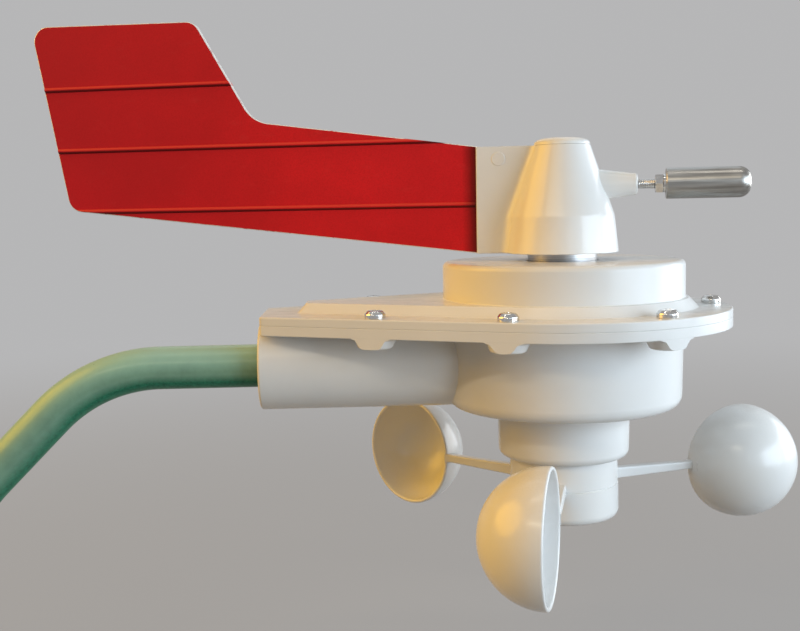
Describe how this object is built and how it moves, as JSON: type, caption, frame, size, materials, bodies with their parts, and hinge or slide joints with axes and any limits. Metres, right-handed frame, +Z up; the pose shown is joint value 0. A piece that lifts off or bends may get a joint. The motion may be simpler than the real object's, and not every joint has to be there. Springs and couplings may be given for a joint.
{
  "type": "home weather station wind sensor",
  "caption": "Wind sensor head for a home weather station: finned wind vane above and cup rotor below a sealed housing on a bent tube arm.",
  "frame": {"origin": "centre of the tube's open lower end, where the mast clamp holds it", "axes": "+Z is up, along the tube's upright end and parallel to the one axis that vane and rotor share; +X runs along the arm to the head; +Y completes a right-handed frame"},
  "size_m": [0.3636, 0.1873, 0.2801],
  "materials": {
    "anodised_green": "satin green anodised tube",
    "white_housing": "glossy moulded plastic",
    "white_moving_parts": "glossy moulded plastic",
    "red_fin": "satin red coat on sheet metal",
    "grey_metal": "turned and anodised",
    "brushed_steel": "fine lengthwise brushing",
    "polished_steel": "polished stainless",
    "bearing_steel": "ground and polished",
    "spring_steel": "blackened spring steel",
    "magnet_plating": "nickel plated",
    "ferrite": "bare dull ferrite",
    "brass": "knurled brass",
    "black_rubber": "matte cord",
    "blue_rubber": "matte ring",
    "black_plastic": "matte moulded",
    "board_green": "coated glass-fibre board",
    "chip_black": "moulded package",
    "terminal_green": "moulded block"
  },
  "bodies": {
    "housing": {"arm_tube": "anodised_green", "top_cover": "white_housing", "bottom_housing": "white_housing", "housing_seal": "black_rubber", "cover_screws": "polished_steel", "threaded_inserts": "brass", "tube_seal": "blue_rubber", "tube_set_screws": "polished_steel", "vane_bearing_sleeve": "grey_metal", "rotor_bearing_sleeve": "grey_metal", "vane_bearing_outer_rings": "bearing_steel", "vane_bearing_balls": "bearing_steel", "rotor_bearing_outer_rings": "bearing_steel", "rotor_bearing_balls": "bearing_steel", "circuit_board": "board_green", "board_screws": "polished_steel", "vane_angle_sensor": "chip_black", "rotor_speed_sensor": "chip_black", "terminal_block": "terminal_green"},
    "vane": {"vane_bearing_inner_rings": "bearing_steel", "vane_axle": "brushed_steel", "vane_axle_spacer": "brushed_steel", "vane_axle_clip": "spring_steel", "vane_magnet_holder": "black_plastic", "vane_magnet": "magnet_plating", "vane_hub": "white_moving_parts", "vane_cap": "white_moving_parts", "vane_hub_washer": "polished_steel", "vane_hub_nut": "polished_steel", "vane_fin": "red_fin", "fin_pin": "white_moving_parts", "balance_rod": "polished_steel"},
    "counterweight": {"balance_nut": "polished_steel", "balance_washer": "polished_steel", "balance_weight": "brushed_steel"},
    "rotor": {"rotor_bearing_inner_rings": "bearing_steel", "rotor_axle": "brushed_steel", "rotor_axle_spacer": "brushed_steel", "rotor_axle_clip": "spring_steel", "rotor_magnet": "ferrite", "rotor_hub": "white_moving_parts", "rotor_hub_screw": "polished_steel", "cup_1": "white_moving_parts", "cup_2": "white_moving_parts", "cup_3": "white_moving_parts"}
  },
  "joints": [
    {"name": "vane_turn", "type": "hinge", "parent": "housing", "child": "vane", "pos_m": [0.25046, 0, 0.17], "axis": [0, 0, 1], "continuous": true},
    {"name": "rotor_turn", "type": "hinge", "parent": "housing", "child": "rotor", "pos_m": [0.25046, 0, 0.11], "axis": [0, 0, 1], "continuous": true},
    {"name": "counterweight_adjust", "type": "slide", "parent": "vane", "child": "counterweight", "axis": [0.9781, -0.2079, 0], "range_m": [-0.005, 0.006]}
  ]
}
